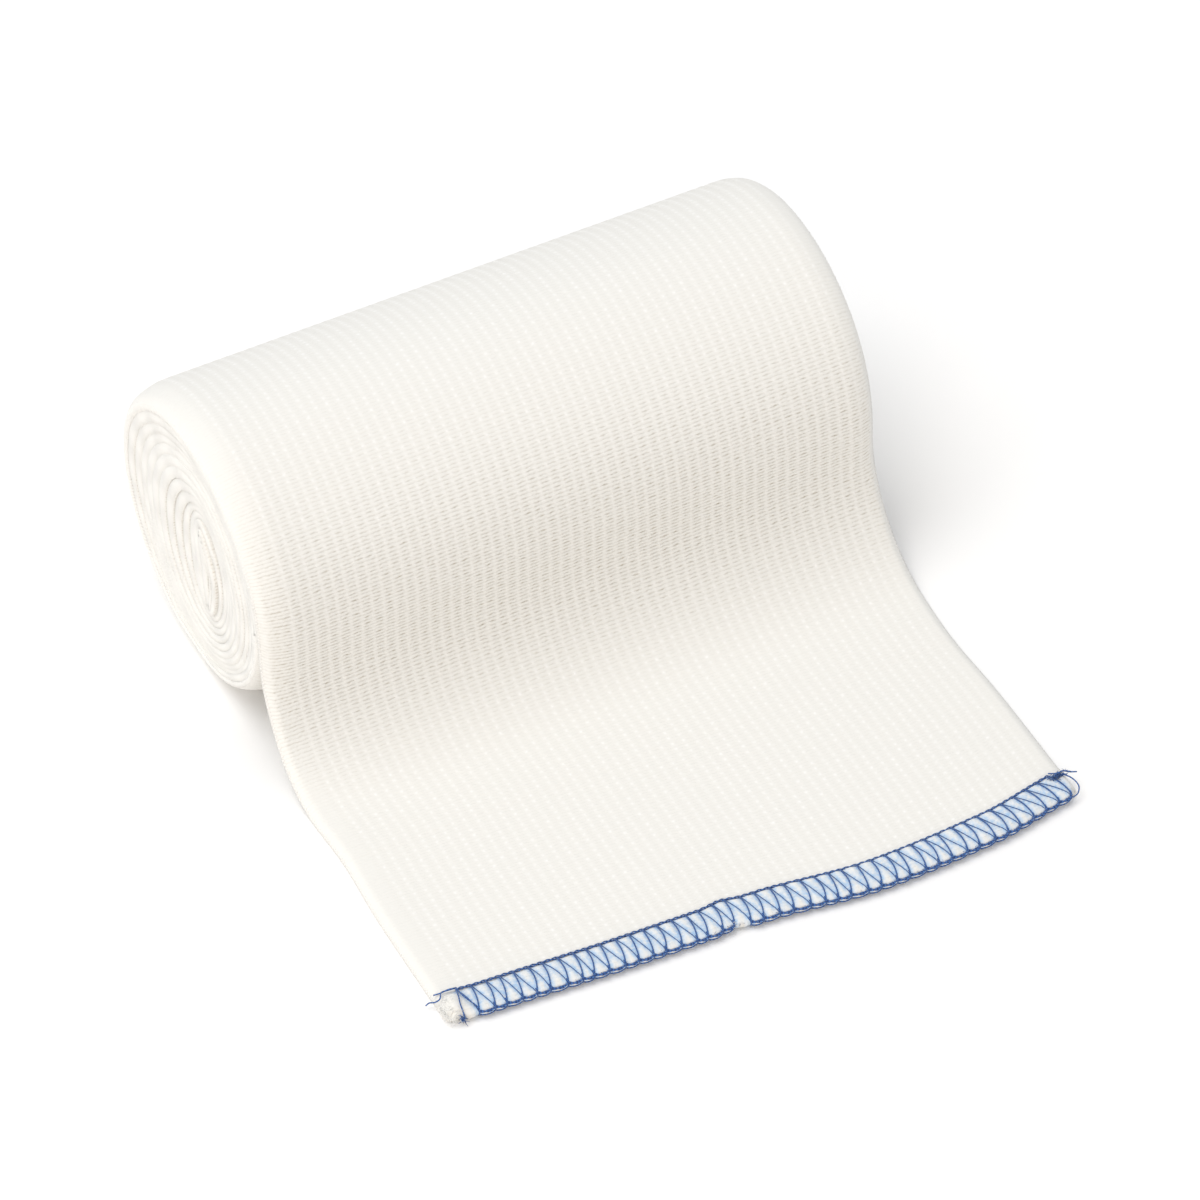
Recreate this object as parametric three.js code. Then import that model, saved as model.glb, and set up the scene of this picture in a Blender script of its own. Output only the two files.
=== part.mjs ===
import * as THREE from 'three';

// Elastic bandage, 10 cm wide, wound into a roll, with its outer end drawn down over the front
// of the roll and laid out on the table, where its cut edge is overlocked in blue thread.
// Millimetres, +Z up. X runs along the roll, the loose end points to -Y, and the origin is on
// the table, at the middle of the flat spot that the roll rests on.

// Driving dimensions of the cloth and the roll
const WIDTH = 100;
const CLOTH = 1.4;
const CLEARANCE = 0.3;
const ROLL_HALF_DEPTH = 25.9;
const ROLL_HALF_HEIGHT = 23.0;
const ROLL_CENTRE_HEIGHT = 21.6;
const AXIS_SKEW = 1.2;

// The core is folded flat and stands on edge, a little in front of the middle and below it
const CORE_HALF_DEPTH = 2.0;
const CORE_HALF_HEIGHT = 7.0;
const CORE_FORWARD = 5.0;
const CORE_DROP = 2.2;

// Main twists that show on the ends, bunched towards the outside
const MAIN_TURNS = 7;
const TURN_CROWDING = 1.3;
const STEPS_PER_TURN = 48;
const LEAVING_ANGLE = THREE.MathUtils.degToRad(176);
const BOTTOM_TURN = 0.75;
const TURN_RELIEF = [
  { across: 0, sunk: 0.9 },
  { across: 0.3, sunk: 0 },
  { across: 0.75, sunk: 0 },
];
const LEFT_END = { shoulder: 1.3, coreDish: 1.8 };
const RIGHT_END = { shoulder: 0.9, coreDish: 1.2 };

// The loose end: down the roll's front, round a soft bend, then flat on the table
const BEND_RADIUS = 16;
const BEND_STEPS = 10;
const HANG_STEPS = 3;
const LYING_STEPS = 6;
const ACROSS_STEPS = 24;
const WAIST = { y: -50, narrower: 0.6, spread: 9 };
const CUT_EDGE = [
  { x: -50, reach: 85.6 },
  { x: -44, reach: 86.9 },
  { x: -25, reach: 87.5 },
  { x: 0, reach: 88.5 },
  { x: 16, reach: 90.4 },
  { x: 36, reach: 89.5 },
  { x: 50, reach: 86.9 },
];

// Overlock edging: the thread wraps the last millimetres of the cloth and squeezes it
const STITCHES = 45;
const STEPS_PER_STITCH = 4;
const BAND = 5.7;
const THREAD = 0.35;
const SQUEEZED_CLOTH = 1.0;
const SQUEEZE_RUN = 3.5;
const SCALLOP = 0.45;
const STITCH_RIDGE = 0.22;
const BARE_CORNER = 2.2;

const OFF_WHITE = 0xf4f2ea;
const BLUE = 0x3a66ad;

function closedMesh(name, color, roughness, corners, faces) {
  const geometry = new THREE.BufferGeometry();
  geometry.setAttribute('position', new THREE.Float32BufferAttribute(corners.flat(), 3));
  geometry.setIndex(faces.flat());
  geometry.computeVertexNormals();
  const material = new THREE.MeshStandardMaterial({ color, roughness, metalness: 0 });
  const mesh = new THREE.Mesh(geometry, material);
  mesh.name = name;
  return mesh;
}

function quad(a, b, c, d) {
  return [a, b, c, a, c, d];
}

// The roll lies a degree or two askew, so its section slides along Y from end to end
function skewAt(x) {
  return AXIS_SKEW * x / (WIDTH / 2);
}

// How far in towards the core the cloth is, 0 on the outside and 1 at the core
function depthShare(turns) {
  return Math.min(1, turns / MAIN_TURNS) ** TURN_CROWDING;
}

function turnShape(share) {
  const { lerp } = THREE.MathUtils;
  return {
    y: lerp(0, -CORE_FORWARD, share),
    z: lerp(ROLL_CENTRE_HEIGHT, ROLL_CENTRE_HEIGHT - CORE_DROP, share),
    halfDepth: lerp(ROLL_HALF_DEPTH, CORE_HALF_DEPTH, share),
    halfHeight: lerp(ROLL_HALF_HEIGHT, CORE_HALF_HEIGHT, share),
  };
}

function lowest(share) {
  const shape = turnShape(share);
  return shape.z - shape.halfHeight;
}

// A point of the winding: `around` turns on from where the loose end leaves, `inward` turns deep.
// The outer turn is pressed flat on the table, and the turns above it are flattened with it.
function windingPoint(around, inward) {
  const share = depthShare(inward);
  const shape = turnShape(share);
  const angle = LEAVING_ANGLE - 2 * Math.PI * around;
  const pressed = inward < 1 ? 0 : lowest(share) - lowest(depthShare(BOTTOM_TURN));
  return {
    y: shape.y + shape.halfDepth * Math.cos(angle),
    z: Math.max(shape.z + shape.halfHeight * Math.sin(angle), pressed),
    share,
  };
}

// One end of the roll as a spiral of ridges and grooves, from the outline to the folded core.
// Each turn's inner edge is the next turn's outer one, and the last turn closes on the core.
function rollEnd(corners, side, end) {
  const lanes = TURN_RELIEF.length;
  const rows = MAIN_TURNS * STEPS_PER_TURN;
  const first = corners.length;
  const place = (around, inward, sunk) => {
    const { y, z, share } = windingPoint(around, inward);
    const inset = inward < 1 && sunk > 0 ? Math.max(sunk, end.shoulder) : sunk;
    const x = side * (WIDTH / 2 - inset - end.coreDish * share ** 3);
    corners.push([x, y + skewAt(x), z]);
  };
  for (let row = 0; row < rows; row += 1) {
    const turns = row / STEPS_PER_TURN;
    TURN_RELIEF.forEach(({ across, sunk }) => place(turns, turns + across, sunk));
  }
  const core = corners.length;
  for (let step = 0; step < STEPS_PER_TURN; step += 1) {
    const turns = MAIN_TURNS + step / STEPS_PER_TURN;
    place(turns, turns, TURN_RELIEF[0].sunk);
  }
  const { y, z } = turnShape(1);
  const middleX = side * (WIDTH / 2 - end.coreDish - TURN_RELIEF[0].sunk);
  const middle = corners.push([middleX, y + skewAt(middleX), z]) - 1;
  const at = (row, lane) => {
    if (lane === lanes) return at(row + STEPS_PER_TURN, 0);
    return row < rows ? first + row * lanes + lane : core + (row % STEPS_PER_TURN);
  };
  return { at, rows, lanes, middle };
}

function rollEndFaces(end, outwards) {
  const faces = [];
  const add = (a, b, c) => {
    const flat = a === b || b === c || c === a;
    if (!flat) faces.push(outwards ? [a, b, c] : [c, b, a]);
  };
  for (let row = 0; row < end.rows; row += 1) {
    for (let lane = 0; lane < end.lanes; lane += 1) {
      add(end.at(row, lane), end.at(row + 1, lane), end.at(row + 1, lane + 1));
      add(end.at(row, lane), end.at(row + 1, lane + 1), end.at(row, lane + 1));
    }
  }
  for (let step = 0; step < STEPS_PER_TURN; step += 1) {
    add(end.at(end.rows + step, 0), end.at(end.rows + step + 1, 0), end.middle);
  }
  return faces;
}

function outline(end) {
  const loop = [];
  for (let row = 0; row <= STEPS_PER_TURN; row += 1) loop.push(end.at(row, 0));
  for (let lane = end.lanes - 1; lane > 0; lane -= 1) loop.push(end.at(0, lane));
  return loop;
}

function makeRoll() {
  const corners = [];
  const left = rollEnd(corners, -1, LEFT_END);
  const right = rollEnd(corners, 1, RIGHT_END);
  const faces = [...rollEndFaces(left, true), ...rollEndFaces(right, false)];
  const leftLoop = outline(left);
  const rightLoop = outline(right);
  leftLoop.forEach((corner, k) => {
    const n = (k + 1) % leftLoop.length;
    faces.push(quad(corner, rightLoop[k], rightLoop[n], leftLoop[n]));
  });
  return closedMesh('bandage_roll', OFF_WHITE, 0.9, corners, faces);
}

// How far the cut edge reaches from the roll, along the bandage's width
function reachAt(x) {
  const points = CUT_EDGE.map((row) => new THREE.Vector2(row.x, row.reach));
  const last = CUT_EDGE.length - 1;
  let k = 0;
  while (k < last - 1 && x > CUT_EDGE[k + 1].x) k += 1;
  const share = (x - points[k].x) / (points[k + 1].x - points[k].x);
  return new THREE.SplineCurve(points).getPoint((k + share) / last).y;
}

function halfWidthAt(y) {
  return WIDTH / 2 - WAIST.narrower * Math.exp(-(((y - WAIST.y) / WAIST.spread) ** 2));
}

// The loose end hangs just clear of the roll's foremost line, and starts under the outer turn
const FOREMOST_TURN = 1 - (Math.PI - LEAVING_ANGLE) / (2 * Math.PI);
const INNER_FACE = windingPoint(FOREMOST_TURN, FOREMOST_TURN).y - CLEARANCE;
const ROOT = windingPoint(1, 1).z - CLEARANCE;
const BEND_CENTRE = { y: INNER_FACE - CLOTH - BEND_RADIUS, z: BEND_RADIUS + CLOTH };

// Stations along the loose end's upper face, each with the cloth's direction and thickness
function looseEndStations() {
  const stations = [];
  for (let k = 0; k < HANG_STEPS; k += 1) {
    const z = THREE.MathUtils.lerp(ROOT, BEND_CENTRE.z, k / HANG_STEPS);
    stations.push({ y: INNER_FACE - CLOTH, z, turn: 0 });
  }
  for (let k = 0; k <= BEND_STEPS; k += 1) {
    const turn = (Math.PI / 2) * (k / BEND_STEPS);
    const y = BEND_CENTRE.y + BEND_RADIUS * Math.cos(turn);
    stations.push({ y, z: BEND_CENTRE.z - BEND_RADIUS * Math.sin(turn), turn });
  }
  return stations;
}

// Rows of paired corners, upper face and under face, from the roll to the squeezed cut edge
function looseEndRows(x) {
  const rows = looseEndStations().map(({ y, z, turn }) => {
    const skew = skewAt(x) * (1 - turn / Math.PI);
    const under = { y: y + CLOTH * Math.cos(turn), z: z - CLOTH * Math.sin(turn) };
    return { upper: { y: y + skew, z }, under: { y: under.y + skew, z: under.z } };
  });
  const start = rows.at(-1).upper.y;
  const bandStart = -(reachAt(x) - BAND);
  const squeezeStart = bandStart + SQUEEZE_RUN;
  for (let k = 1; k <= LYING_STEPS; k += 1) {
    const y = THREE.MathUtils.lerp(start, squeezeStart, k / LYING_STEPS);
    rows.push({ upper: { y, z: CLOTH }, under: { y, z: 0 } });
  }
  const low = THREAD + CLEARANCE;
  const high = low + SQUEEZED_CLOTH;
  const end = -(reachAt(x) - THREAD - CLEARANCE - SCALLOP);
  for (const y of [bandStart + CLEARANCE, end]) {
    rows.push({ upper: { y, z: high }, under: { y, z: low } });
  }
  return rows;
}

function makeLooseEnd() {
  const corners = [];
  const columns = ACROSS_STEPS + 1;
  const steps = looseEndRows(0).length;
  for (let column = 0; column < columns; column += 1) {
    const across = (2 * column) / ACROSS_STEPS - 1;
    for (const { upper, under } of looseEndRows(across * WIDTH / 2)) {
      const x = across * halfWidthAt(upper.y);
      corners.push([x, upper.y, upper.z], [x, under.y, under.z]);
    }
  }
  const upper = (column, row) => 2 * (column * steps + row);
  const under = (column, row) => upper(column, row) + 1;
  const faces = [];
  for (let c = 0; c < ACROSS_STEPS; c += 1) {
    for (let r = 0; r < steps - 1; r += 1) {
      faces.push(quad(upper(c, r), upper(c, r + 1), upper(c + 1, r + 1), upper(c + 1, r)));
      faces.push(quad(under(c, r), under(c + 1, r), under(c + 1, r + 1), under(c, r + 1)));
    }
    faces.push(quad(upper(c, 0), upper(c + 1, 0), under(c + 1, 0), under(c, 0)));
    const r = steps - 1;
    faces.push(quad(upper(c, r), under(c, r), under(c + 1, r), upper(c + 1, r)));
  }
  for (let r = 0; r < steps - 1; r += 1) {
    const c = ACROSS_STEPS;
    faces.push(quad(upper(0, r), under(0, r), under(0, r + 1), upper(0, r + 1)));
    faces.push(quad(upper(c, r), upper(c, r + 1), under(c, r + 1), under(c, r)));
  }
  return closedMesh('loose_end', OFF_WHITE, 0.9, corners, faces);
}

// Section of the edging at one step: out over the cloth, round the cut edge and back under it.
// A stitch's thread stands up as a ridge, and the edge swells out between two stitches.
function edgingSection(x, step) {
  const phase = (step % STEPS_PER_STITCH) / STEPS_PER_STITCH;
  const swell = Math.sin(Math.PI * phase);
  const ridge = STITCH_RIDGE * (1 - swell);
  const slotLow = THREAD;
  const slotHigh = THREAD + 2 * CLEARANCE + SQUEEZED_CLOTH;
  const top = slotHigh + THREAD;
  const rim = BAND - SCALLOP + SCALLOP * swell;
  const slotEnd = BAND - SCALLOP - THREAD;
  const back = -(reachAt(x) - BAND);
  const section = [
    { out: 0, z: slotHigh },
    { out: 0, z: top + STITCH_RIDGE },
    { out: 0.9, z: top + ridge / 2 },
    { out: slotEnd, z: top + ridge },
    { out: rim, z: top - 3 * THREAD },
    { out: rim, z: THREAD },
    { out: slotEnd, z: 0 },
    { out: 0, z: 0 },
    { out: 0, z: slotLow },
    { out: slotEnd, z: slotLow },
    { out: slotEnd, z: slotHigh },
  ];
  return section.map(({ out, z }) => [x, back - out, z]);
}

function makeEdging() {
  const corners = [];
  const sections = STITCHES * STEPS_PER_STITCH + 1;
  const startX = -WIDTH / 2 + BARE_CORNER;
  for (let step = 0; step < sections; step += 1) {
    const x = THREE.MathUtils.lerp(startX, WIDTH / 2 + CLEARANCE, step / (sections - 1));
    corners.push(...edgingSection(x, step));
  }
  const points = corners.length / sections;
  const at = (step, k) => step * points + (k % points);
  const faces = [];
  for (let step = 0; step < sections - 1; step += 1) {
    for (let k = 0; k < points; k += 1) {
      faces.push(quad(at(step, k), at(step, k + 1), at(step + 1, k + 1), at(step + 1, k)));
    }
  }
  const flat = edgingSection(0, 0).map(([, y, z]) => new THREE.Vector2(y, z));
  const caps = THREE.ShapeUtils.triangulateShape(flat, []);
  for (const [a, b, c] of caps) {
    faces.push([at(0, c), at(0, b), at(0, a)]);
    faces.push([at(sections - 1, a), at(sections - 1, b), at(sections - 1, c)]);
  }
  return closedMesh('overlock_edge', BLUE, 0.6, corners, faces);
}

const bandage = new THREE.Group();
bandage.add(makeRoll(), makeLooseEnd(), makeEdging());

export default bandage;
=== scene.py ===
# %% [markdown]
# # An elastic bandage, half unrolled
# The real object is one long strip of ribbed elastic cloth, 10 cm wide, wound into a roll. Its outer
# end is drawn down over the front and laid on the table, and the cut edge is overlocked in blue.
# It could be sculpted, but a strip that is wound by a formula keeps one thickness and one length, so
# this lesson winds a path first and then lays cloth, edges and stitches along it.

# %% Load the part's frame
import math
from functools import partial

import bpy
import numpy as np
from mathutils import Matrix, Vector


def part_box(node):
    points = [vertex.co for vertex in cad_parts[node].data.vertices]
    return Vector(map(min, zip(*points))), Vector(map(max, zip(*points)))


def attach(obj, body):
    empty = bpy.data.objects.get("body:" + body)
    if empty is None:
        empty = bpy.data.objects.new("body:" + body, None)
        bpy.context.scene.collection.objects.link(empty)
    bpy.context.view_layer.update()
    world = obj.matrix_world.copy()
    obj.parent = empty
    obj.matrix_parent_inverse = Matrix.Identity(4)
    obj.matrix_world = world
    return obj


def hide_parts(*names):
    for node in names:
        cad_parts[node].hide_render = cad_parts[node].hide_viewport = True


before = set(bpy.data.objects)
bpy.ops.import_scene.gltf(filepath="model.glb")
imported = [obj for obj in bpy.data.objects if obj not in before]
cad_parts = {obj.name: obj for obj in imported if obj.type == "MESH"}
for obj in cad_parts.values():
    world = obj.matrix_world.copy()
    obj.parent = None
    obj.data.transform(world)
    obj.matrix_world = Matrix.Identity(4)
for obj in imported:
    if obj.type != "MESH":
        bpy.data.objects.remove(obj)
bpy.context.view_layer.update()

MM = 0.001

# %% [markdown]
# ## Sizes
# Every size is in millimetres and starts from the solids in the frame, so that the cloth lies where
# the solids do. The winding is an oval that shrinks, turn by turn, to a core folded flat on its edge.

# %% Sizes of the roll and the cloth
ROLL_LOW, ROLL_HIGH = (np.array(corner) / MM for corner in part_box("bandage_roll"))
EDGE_LOW, EDGE_HIGH = (np.array(corner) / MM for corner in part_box("overlock_edge"))
print("solid of the stitched edge, mm:", np.round([EDGE_LOW, EDGE_HIGH], 1).tolist())
WIDTH = round(ROLL_HIGH[0] - ROLL_LOW[0])
HALF = WIDTH / 2
SKEW = 1.2
HALF_DEPTH = 25.9
HALF_HEIGHT = 23.0
CENTRE_HEIGHT = 21.6
CORE = {"half_depth": 2.0, "half_height": 7.0, "forward": 5.0, "drop": 2.2}
TURNS = 12.5
LEAVING_ANGLE = math.radians(176)
BOTTOM_TURN = 0.75
CLOTH = 1.3
SOFT = 0.12
TABLE_CLOTH = 1.4
BEND_RADIUS = 16.0
CLEARANCE = 0.3
print(f"roll {ROLL_HIGH[1] - ROLL_LOW[1]:.1f} mm deep, {ROLL_HIGH[2]:.1f} mm high, cloth {WIDTH} mm wide")

# %% [markdown]
# ## The path of the cloth
# A bandage is wound on a flat spindle, so its turns are ovals that grow outwards. One function gives
# a point of the winding for any number of turns. It presses the lowest turns flat, as their own
# weight does on the table, and opens the dark slits where two turns stand apart.

# %% Winding function
PRESSED_TURNS = 4
CORE_FROM = 0.75
CORE_LEAN = 0.16
SLIT_BLEND, SLIT_FADE = 0.35, 1.9
SLITS = [
    {"turn": 0.9, "angle": 75, "spread": 45, "opens": 0.10},
    {"turn": 3.9, "angle": 45, "spread": 34, "opens": 0.08},
    {"turn": 6.9, "angle": 60, "spread": 30, "opens": 0.06},
    {"turn": 10.9, "angle": 125, "spread": 30, "opens": 1.4},
    {"turn": 1.0, "angle": 228, "spread": 16, "opens": 0.5},
    {"turn": 5.6, "angle": 250, "spread": 40, "opens": 0.08},
]


def slit_push(turns, degrees):
    """Outward shift in mm: turns outside a slit move out, turns inside it move in."""
    push = np.zeros_like(turns)
    for slit in SLITS:
        away = (degrees - slit["angle"] + 180) % 360 - 180
        side = np.tanh((slit["turn"] - turns) / SLIT_BLEND) * np.exp(-((turns - slit["turn"]) / SLIT_FADE) ** 2)
        push += 0.5 * slit["opens"] * side * np.exp(-(away / slit["spread"]) ** 2)
    return push


def turn_shape(share):
    """Centre and half axes of the oval, from the outline at 0 to the core at 1."""
    lerp = lambda start, end: start + (end - start) * share
    return (lerp(0, -CORE["forward"]), lerp(CENTRE_HEIGHT, CENTRE_HEIGHT - CORE["drop"]),
            np.maximum(lerp(HALF_DEPTH, CORE["half_depth"]), 0.12), lerp(HALF_HEIGHT, CORE["half_height"]))


def winding(turns, slits=True):
    """Outer face of the cloth after so many turns inwards, as y and z."""
    turns = np.asarray(turns, float)
    share = turns / TURNS
    y0, z0, half_depth, half_height = turn_shape(share)
    angle = LEAVING_ANGLE - 2 * np.pi * turns
    push = slit_push(turns, np.degrees(angle) % 360) if slits else 0
    y = y0 + (half_depth + push) * np.cos(angle)
    z = z0 + (half_height + push) * np.sin(angle)
    bottom = lambda at: turn_shape(at)[1] - turn_shape(at)[3]
    raised = -bottom(BOTTOM_TURN / TURNS) * np.exp(-np.maximum(turns - 1, 0) / PRESSED_TURNS)
    pressed = np.where(turns < 1, 0, bottom(share) + raised)
    z = pressed + SOFT * np.logaddexp(0, (z - pressed) / SOFT)
    core = np.clip((share - CORE_FROM) / (1 - CORE_FROM), 0, 1)
    return np.stack([y + CORE_LEAN * core * np.maximum(z - z0, 0) ** 1.35, z], -1)


def room(turns):
    """How thick the cloth can be there before it meets the next turn."""
    return np.linalg.norm(winding(turns, slits=False) - winding(turns + 1, slits=False), axis=-1)


print("outer turn's top at z", round(float(winding(0.24)[1]), 1), "mm")

# %% [markdown]
# The loose end leaves the front of the roll, hangs down, turns through a soft bend and lies flat.
# The cut edge isn't straight: the overlocking stretched it into a slow wave. A short table gives how
# far the stitching reaches at a few places, the cloth ends a little behind it, and a smooth curve runs
# through them. One place is drawn in, where a loop of the stitching is missing.

# %% Path of the loose end and the outer turn
CUT_EDGE = [
    {"x": -50, "reach": 85.9}, {"x": -44, "reach": 86.4}, {"x": -25, "reach": 87.5}, {"x": 0, "reach": 88.5},
    {"x": 16, "reach": 90.4}, {"x": 36, "reach": 89.5}, {"x": 50, "reach": 86.9},
]
EDGE_X = np.array([row["x"] for row in CUT_EDGE], float)
STITCHES_OUT = 0.85
EDGE_REACH = np.array([row["reach"] for row in CUT_EDGE], float) - STITCHES_OUT
NOTCH = {"x": -6.2, "deep": 0.5, "spread": 2.0}


def reach(x):
    """How far the cut edge lies from the roll's axis, on a Catmull-Rom curve through the table."""
    x = np.asarray(x, float)
    notch = NOTCH["deep"] * np.exp(-((x - NOTCH["x"]) / NOTCH["spread"]) ** 2)
    k = np.clip(np.searchsorted(EDGE_X, x) - 1, 0, len(EDGE_X) - 2)
    t = (x - EDGE_X[k]) / (EDGE_X[k + 1] - EDGE_X[k])
    p = [EDGE_REACH[np.clip(k + step, 0, len(EDGE_X) - 1)] for step in (-1, 0, 1, 2)]
    rise, fall = (p[2] - p[0]) / 2, (p[3] - p[1]) / 2
    return (p[1] + rise * t + (3 * (p[2] - p[1]) - 2 * rise - fall) * t ** 2
            + (rise + fall - 2 * (p[2] - p[1])) * t ** 3) - notch


STEP = 0.19
STIFFNESS = 1.3
OUTER_TURNS = 1.06
FOREMOST_TURN = 1 - 4 / 360
FACE_Y = winding(FOREMOST_TURN)[0] - CLEARANCE - TABLE_CLOTH
BEND_Y = FACE_Y - BEND_RADIUS
BEND_Z = BEND_RADIUS + TABLE_CLOTH


def resample(points, step):
    """Even steps along a polyline, and the distance of each from its start."""
    along = np.concatenate([[0], np.cumsum(np.linalg.norm(np.diff(points, axis=0), axis=1))])
    even = np.arange(0, along[-1], step)
    return np.stack([np.interp(even, along, axis) for axis in points.T], -1), even


def smooth(points, reach_mm, step):
    """Rounds a path's corners as the cloth's own stiffness does, and keeps its ends."""
    half = int(3 * reach_mm / step)
    weight = np.exp(-0.5 * (np.arange(-half, half + 1) * step / reach_mm) ** 2)
    ends = np.concatenate([2 * points[0] - points[half:0:-1], points, 2 * points[-1] - points[-2:-half - 2:-1]])
    return np.stack([np.convolve(axis, weight / weight.sum(), "valid") for axis in ends.T], -1)


flat = np.stack([np.linspace(-float(reach(0)), BEND_Y, 200), np.full(200, TABLE_CLOTH)], -1)
turn = np.linspace(math.pi / 2, 0, 120)[1:]
bend = np.stack([BEND_Y + BEND_RADIUS * np.cos(turn), BEND_Z - BEND_RADIUS * np.sin(turn)], -1)
hang = np.stack([np.full(20, FACE_Y), np.linspace(BEND_Z, winding(0)[1], 22)[1:-1]], -1)
PATH, ALONG = resample(np.concatenate([flat, bend, hang, winding(np.linspace(0, OUTER_TURNS, 900))]), STEP)
PATH = smooth(PATH, STIFFNESS, STEP)
FLAT_RUN = BEND_Y + float(reach(0))
BEND_RUN = BEND_RADIUS * math.pi / 2
ROOT = FLAT_RUN + BEND_RUN + winding(0)[1] - BEND_Z
TURN_TABLE = np.linspace(0, OUTER_TURNS, 1200)
TURN_RUN = ROOT + np.concatenate([[0], np.cumsum(np.linalg.norm(np.diff(winding(TURN_TABLE), axis=0), axis=1))])
OUTER_LENGTH = float(np.interp(1.0, TURN_TABLE, TURN_RUN))
print(f"loose end {ROOT:.1f} mm long, outer turn {OUTER_LENGTH - ROOT:.1f} mm")

# %% [markdown]
# ## Laying cloth along the path
# The cloth is a ring of points for each step along the path: across the upper face, round one edge,
# back under and round the other. One ring after another makes one closed skin. The texture map holds
# millimetres, across in U and along in V, so a weave drawn from it has its real size everywhere.

# %% Helpers that turn points into pieces
def new_piece(name, points, faces, across=None, along=None, normals=None):
    mesh = bpy.data.meshes.new(name)
    mesh.from_pydata((np.asarray(points) * MM).tolist(), [], faces)
    if across is not None:
        corner = np.zeros(len(mesh.loops), int)
        mesh.loops.foreach_get("vertex_index", corner)
        layer = mesh.uv_layers.new(name="cloth_mm")
        layer.data.foreach_set("uv", np.stack([across[corner], along[corner]], -1).ravel())
    mesh.polygons.foreach_set("use_smooth", np.ones(len(mesh.polygons), bool))
    mesh.update()
    if enclosed(mesh) < 0:
        mesh.flip_normals()
    if normals is not None:
        mesh.normals_split_custom_set_from_vertices(normals.tolist())
    piece = bpy.data.objects.new(name, mesh)
    bpy.context.collection.objects.link(piece)
    print(f"{name}: {sum(len(p.vertices) - 2 for p in mesh.polygons)} triangles")
    return piece


def enclosed(mesh):
    """Enclosed volume, below zero where the faces look inwards."""
    centre, normal = (np.zeros(3 * len(mesh.polygons)) for _ in range(2))
    area = np.zeros(len(mesh.polygons))
    mesh.polygons.foreach_get("center", centre)
    mesh.polygons.foreach_get("normal", normal)
    mesh.polygons.foreach_get("area", area)
    return float((centre * normal).reshape(-1, 3).sum(1) @ area / 3)


def ring_faces(rings, around, mirrored=False):
    """Quads between closed rings of points, and a cap on each end.

    A mirrored ring has as many points under as above, so its cap is a strip between the two.
    """
    a = np.arange(rings - 1)[:, None] * around
    k = np.arange(around)[None, :]
    n = (k + 1) % around
    quads = np.stack([a + k, a + around + k, a + around + n, a + n], -1).reshape(-1, 4).tolist()
    if mirrored:
        top = around // 2 - 2
        cap = [[i, i + 1, around - 3 - i, around - 2 - i] for i in range(top)]
        cap += [[top, top + 1, top + 2], [around - 2, around - 1, 0]]
    else:
        cap = [list(range(around))]
    last = (rings - 1) * around
    return quads + cap + [[last + i for i in reversed(face)] for face in cap]


def face_direction(points):
    """Unit normals of a path in the roll's section, pointing out of the roll and up off the table."""
    tangent = np.gradient(points, axis=0)
    tangent /= np.linalg.norm(tangent, axis=1)[:, None]
    return np.stack([-tangent[:, 1], tangent[:, 0]], -1)


# %% [markdown]
# ## The knit
# Chains of cotton run along the bandage every 1.8 mm and tie down cross threads every 0.6 mm, two
# cross threads to a tie. The chains stand up as soft ribs, and each tie as a small knot on its rib.
# It could all be bump, but a rib catches the light on a curve, so the ribs and knots are real relief
# in the mesh, a few hundredths of a millimetre high, and the single threads follow in the material.
# The two edges have no chains on their last 2 mm, only the turning cross threads.

# %% Relief of the ribs
WALES = 56
WALE = WIDTH / WALES
ROW = 0.59
TIE = 2 * ROW
SELVEDGE = 1.2 * WALE
RIGHT_NARROWER = 1.1
RIB_HEIGHT, TIE_HEIGHT = 0.03, 0.015


def knit_relief(u, v):
    rib = 0.5 - 0.5 * np.cos(2 * np.pi * u / WALE)
    tie = np.cos(2 * np.pi * v / TIE)
    inside = np.clip((np.minimum(u, WIDTH - u + RIGHT_NARROWER) - SELVEDGE) / WALE, 0, 1)
    return (RIB_HEIGHT * rib + TIE_HEIGHT * tie * rib ** 2) * inside


print(f"{WALES} ribs at {WALE:.2f} mm, a tie every {TIE:.2f} mm")

# %% [markdown]
# ## Where the stitches go
# An overlocker's needle thread makes a chain 5 mm in from the cut, and its loopers throw a thread from
# each chain stitch over the edge and back. The threads press into the soft cloth, so their places
# are needed before the cloth is made: it stands up as a little pillow between them. Even stitches look
# drawn by a machine, so seeded random numbers move each a tenth of a millimetre or so.

# %% Stitch positions
STITCH = 2.18
THREAD_RADIUS = 0.105
FIRST_NODE, LAST_NODE = -46.9, 47.4
BAND = 4.85
RIM = 0.65
BAND_CENTRE = 1.0
CHAIN_AT = 4.7
KNOT_AT = 0.28
UNEVEN_CHAIN, UNEVEN_KNOTS = 0.14, 0.12
rng = np.random.default_rng(7)
NODES = np.linspace(FIRST_NODE, LAST_NODE, round((LAST_NODE - FIRST_NODE) / STITCH) + 1)
NODES[1:-1] += rng.normal(0, UNEVEN_CHAIN, len(NODES) - 2)
LEAN = [{"x": -47, "by": -0.9}, {"x": -20, "by": -0.65}, {"x": 15, "by": -0.5}, {"x": 30, "by": 0.2},
        {"x": 40, "by": 0.9}, {"x": 47.4, "by": 1.5}]
LEANING = np.interp(NODES, [row["x"] for row in LEAN], [row["by"] for row in LEAN])
KNOTS = NODES + LEANING + rng.normal(0, UNEVEN_KNOTS, len(NODES))
BOW = rng.uniform(0.12, 0.40, (len(NODES) - 1, 1))
SAG = rng.normal(0, UNEVEN_CHAIN, (len(NODES) - 1, 1))
THROW = np.linspace(0, 1, 14)


def throws(start_x, end_x, bow):
    """Lines from the chain to the rim: place across, and share of the way."""
    return start_x[:, None] + (end_x - start_x)[:, None] * THROW + bow * np.sin(np.pi * THROW) ** 1.2


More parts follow.
